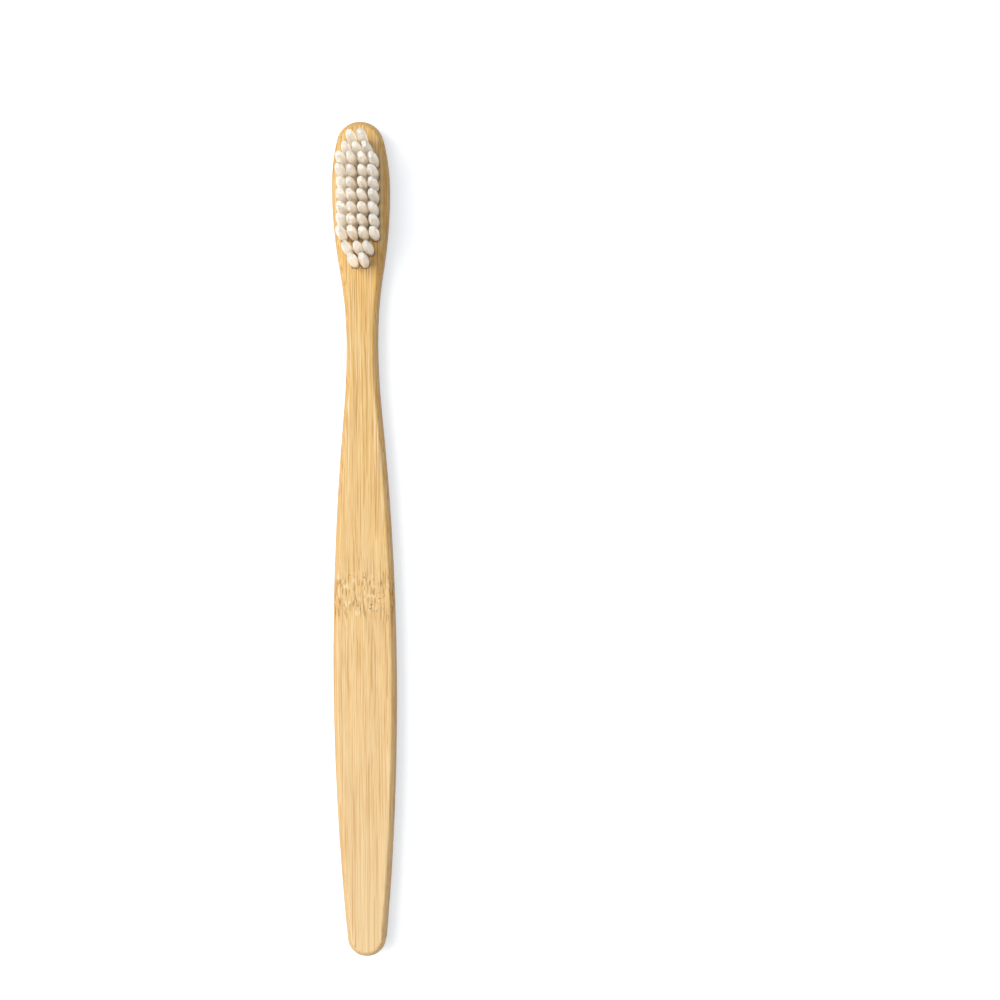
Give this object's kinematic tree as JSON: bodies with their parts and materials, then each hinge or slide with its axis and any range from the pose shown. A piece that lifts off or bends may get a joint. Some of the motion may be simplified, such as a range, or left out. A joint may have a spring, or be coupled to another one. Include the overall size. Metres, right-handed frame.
{
  "type": "manual toothbrush",
  "caption": "Flat bamboo toothbrush with bevelled edges, a slim neck and a broad grip; rows of nylon tufts are folded round metal anchors in drilled holes of the head.",
  "frame": {"origin": "on the flat back, under the middle of the handle's length and width", "axes": "+Y along the handle towards the head, +Z out of the front, the way the bristles point, +X across the handle"},
  "size_m": [0.0132, 0.175, 0.0155],
  "materials": {
    "bamboo": "sanded solid bamboo, satin, grain along the handle",
    "bristle": "off-white nylon filament, slightly see-through",
    "anchor": "rolled brass strip, cut to length"
  },
  "bodies": {
    "root": {"anchors_row01": "anchor", "anchors_row02": "anchor", "anchors_row03": "anchor", "anchors_row04": "anchor", "anchors_row05": "anchor", "anchors_row06": "anchor", "anchors_row07": "anchor", "anchors_row08": "anchor", "anchors_row09": "anchor", "anchors_row10": "anchor", "anchors_row11": "anchor", "handle": "bamboo", "tuft_row01_1": "bristle", "tuft_row01_2": "bristle", "tuft_row02_1": "bristle", "tuft_row02_2": "bristle", "tuft_row02_3": "bristle", "tuft_row03_1": "bristle", "tuft_row03_2": "bristle", "tuft_row03_3": "bristle", "tuft_row03_4": "bristle", "tuft_row04_1": "bristle", "tuft_row04_2": "bristle", "tuft_row04_3": "bristle", "tuft_row04_4": "bristle", "tuft_row05_1": "bristle", "tuft_row05_2": "bristle", "tuft_row05_3": "bristle", "tuft_row05_4": "bristle", "tuft_row06_1": "bristle", "tuft_row06_2": "bristle", "tuft_row06_3": "bristle", "tuft_row06_4": "bristle", "tuft_row07_1": "bristle", "tuft_row07_2": "bristle", "tuft_row07_3": "bristle", "tuft_row07_4": "bristle", "tuft_row08_1": "bristle", "tuft_row08_2": "bristle", "tuft_row08_3": "bristle", "tuft_row08_4": "bristle", "tuft_row09_1": "bristle", "tuft_row09_2": "bristle", "tuft_row09_3": "bristle", "tuft_row09_4": "bristle", "tuft_row10_1": "bristle", "tuft_row10_2": "bristle", "tuft_row10_3": "bristle", "tuft_row11_1": "bristle", "tuft_row11_2": "bristle"}
  },
  "joints": []
}
